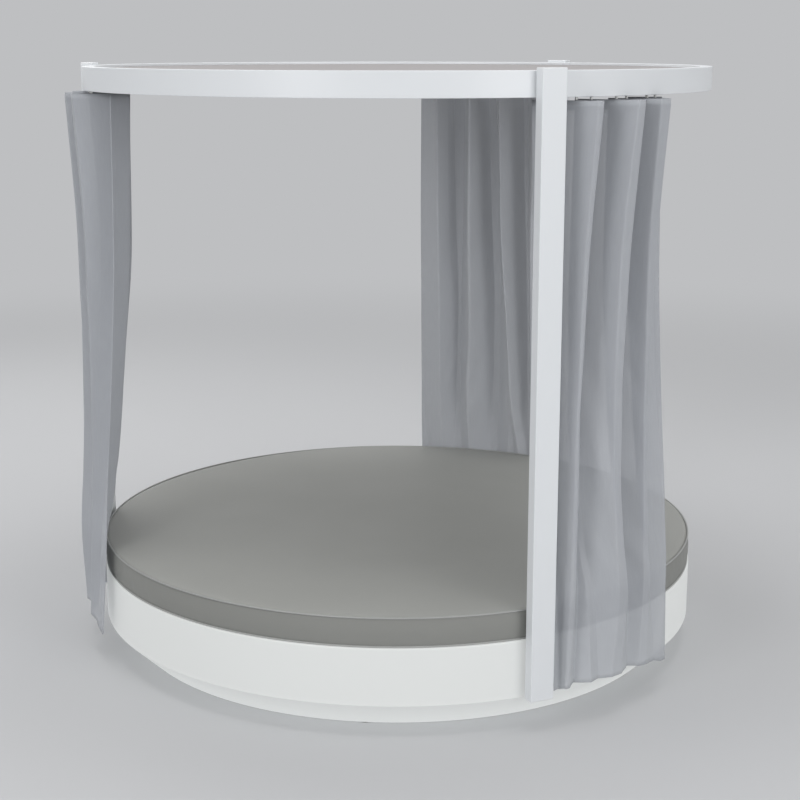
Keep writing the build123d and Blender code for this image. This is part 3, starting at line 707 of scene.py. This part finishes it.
def makeRoof():
    work = bmesh.new()
    layer = work.loops.layers.uv.new("cloth")
    for v in discGrid(work, roof["cells"], roofRadius, roofEdge):
        away = v.co.xy.length / roofRadius
        turn = atan2(v.co.y, v.co.x)
        v.co.z -= (roofEdge - roofMiddle) * (1 - away ** 2)
        near = away ** roof["gatherRise"] * (1 - away ** roof["gatherEnd"])
        v.co.z += roof["gatherHeight"] * sin(turn * roof["gathers"]) * near
        for loop in v.link_loops:
            loop[layer].uv = v.co.xy
    piece = newPiece("roofCloth", work, "roof_fabric", "frame")
    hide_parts("roof_membrane")
    solid(piece, roof["thickness"])
    work = bmesh.new()
    hoop(work, cordCircle, cordHeight, cordRadius, roof["cordSections"], roof["cordSteps"])
    cord = newPiece("roofEdgeCord", work, "roof_fabric", "frame")
    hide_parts("roof_edge_cord")


makeRoof()
print("roof made")


# Floor, light and camera

stage = {"floorSize": 60.0, "tone": screen(190, 191, 193), "floorTone": screen(200, 201, 203),
         "floorRoughness": 0.9, "floorGloss": 0.1, "fadeFrom": 3.2, "fadeTo": 9.0,
         "ambient": 0.6, "aim": Vector((0, 0, 0.9))}
camera = {"azimuth": 36.8, "across": -0.0539, "away": 5.5598, "height": 2.0762, "pitch": 12.693,
          "yaw": 0.657, "roll": 0.02, "focal": 1587.07, "frame": 800, "sensor": 36.0,
          "farthest": 200}
lamps = {
    "key": {"place": (0.6, -6.8, 3.0), "size": 2.5, "power": 95.0},
    "fill": {"place": (7.2, -2.2, 2.6), "size": 3.0, "power": 115.0},
    "back": {"place": (-5.4, 1.6, 3.4), "size": 3.0, "power": 45.0},
    "top": {"place": (0.0, 0.0, 5.6), "size": 5.0, "power": 120.0},
}


def makeFloor():
    # Keeps the shadow near the object and fades into the backdrop's tone far from it
    work = bmesh.new()
    bmesh.ops.create_grid(work, x_segments=1, y_segments=1, size=stage["floorSize"])
    mesh = bpy.data.meshes.new("floor")
    work.to_mesh(mesh)
    work.free()
    finish = Finish("floor")
    reach = finish.length(finish.place())
    far = finish.node("ShaderNodeMapRange", {"interpolation_type": "SMOOTHSTEP"}, {
        "Value": reach, "From Min": stage["fadeFrom"], "From Max": stage["fadeTo"]})
    lit = finish.node("ShaderNodeBsdfPrincipled", {}, {
        "Base Color": stage["floorTone"], "Roughness": stage["floorRoughness"],
        "Specular IOR Level": stage["floorGloss"]})
    plain = finish.node("ShaderNodeEmission", {}, {"Color": stage["tone"], "Strength": 1.0})
    mixed = finish.node("ShaderNodeMixShader", {}, {0: far * finish.seen(), 1: lit, 2: plain})
    finish.node("ShaderNodeOutputMaterial", {}, {0: mixed})
    mesh.materials.append(finish.material)
    floor = bpy.data.objects.new("floor", mesh)
    bpy.context.scene.collection.objects.link(floor)


def makeWorld():
    # The backdrop's tone where it is seen, and plain light from everywhere else
    world = Finish("studio", bpy.data.worlds)
    bpy.context.scene.world = world.material
    seen = world.seen()
    backdrop = world.node("ShaderNodeBackground", {}, {"Color": stage["tone"], "Strength": 1.0})
    light = world.node("ShaderNodeBackground", {}, {
        "Color": (1, 1, 1, 1), "Strength": stage["ambient"]})
    mixed = world.node("ShaderNodeMixShader", {}, {0: seen, 1: light, 2: backdrop})
    world.node("ShaderNodeOutputWorld", {}, {0: mixed})


def makeLamps():
    for name, look in lamps.items():
        data = bpy.data.lights.new(name, "AREA")
        data.shape = "DISK"
        data.size = look["size"]
        data.energy = look["power"]
        lamp = bpy.data.objects.new(name, data)
        lamp.location = look["place"]
        aim = stage["aim"] - lamp.location
        lamp.rotation_euler = aim.to_track_quat("-Z", "Y").to_euler()
        bpy.context.scene.collection.objects.link(lamp)


def makeCamera():
    data = bpy.data.cameras.new("camera")
    data.sensor_width = camera["sensor"]
    data.lens = camera["focal"] / camera["frame"] * camera["sensor"]
    data.clip_end = camera["farthest"]
    eye = bpy.data.objects.new("camera", data)
    pitch, yaw, roll = (radians(camera[key]) for key in ("pitch", "yaw", "roll"))
    ahead = Vector((sin(yaw), cos(yaw), 0))
    right = Vector((cos(yaw), -sin(yaw), 0))
    up = Vector((0, 0, 1))
    front = ahead * cos(pitch) - up * sin(pitch)
    above = up * cos(pitch) + ahead * sin(pitch)
    level = right * cos(roll) + above * sin(roll)
    above = above * cos(roll) - right * sin(roll)
    turned = Matrix((level, above, -front)).transposed().to_4x4()
    place = Matrix.Translation((camera["across"], -camera["away"], camera["height"]))
    eye.matrix_world = Matrix.Rotation(radians(camera["azimuth"]), 4, "Z") @ place @ turned
    bpy.context.scene.collection.objects.link(eye)
    bpy.context.scene.camera = eye


makeFloor()
makeWorld()
makeLamps()
makeCamera()
bpy.context.scene.view_settings.view_transform = "Standard"
print("stage, light and camera made")
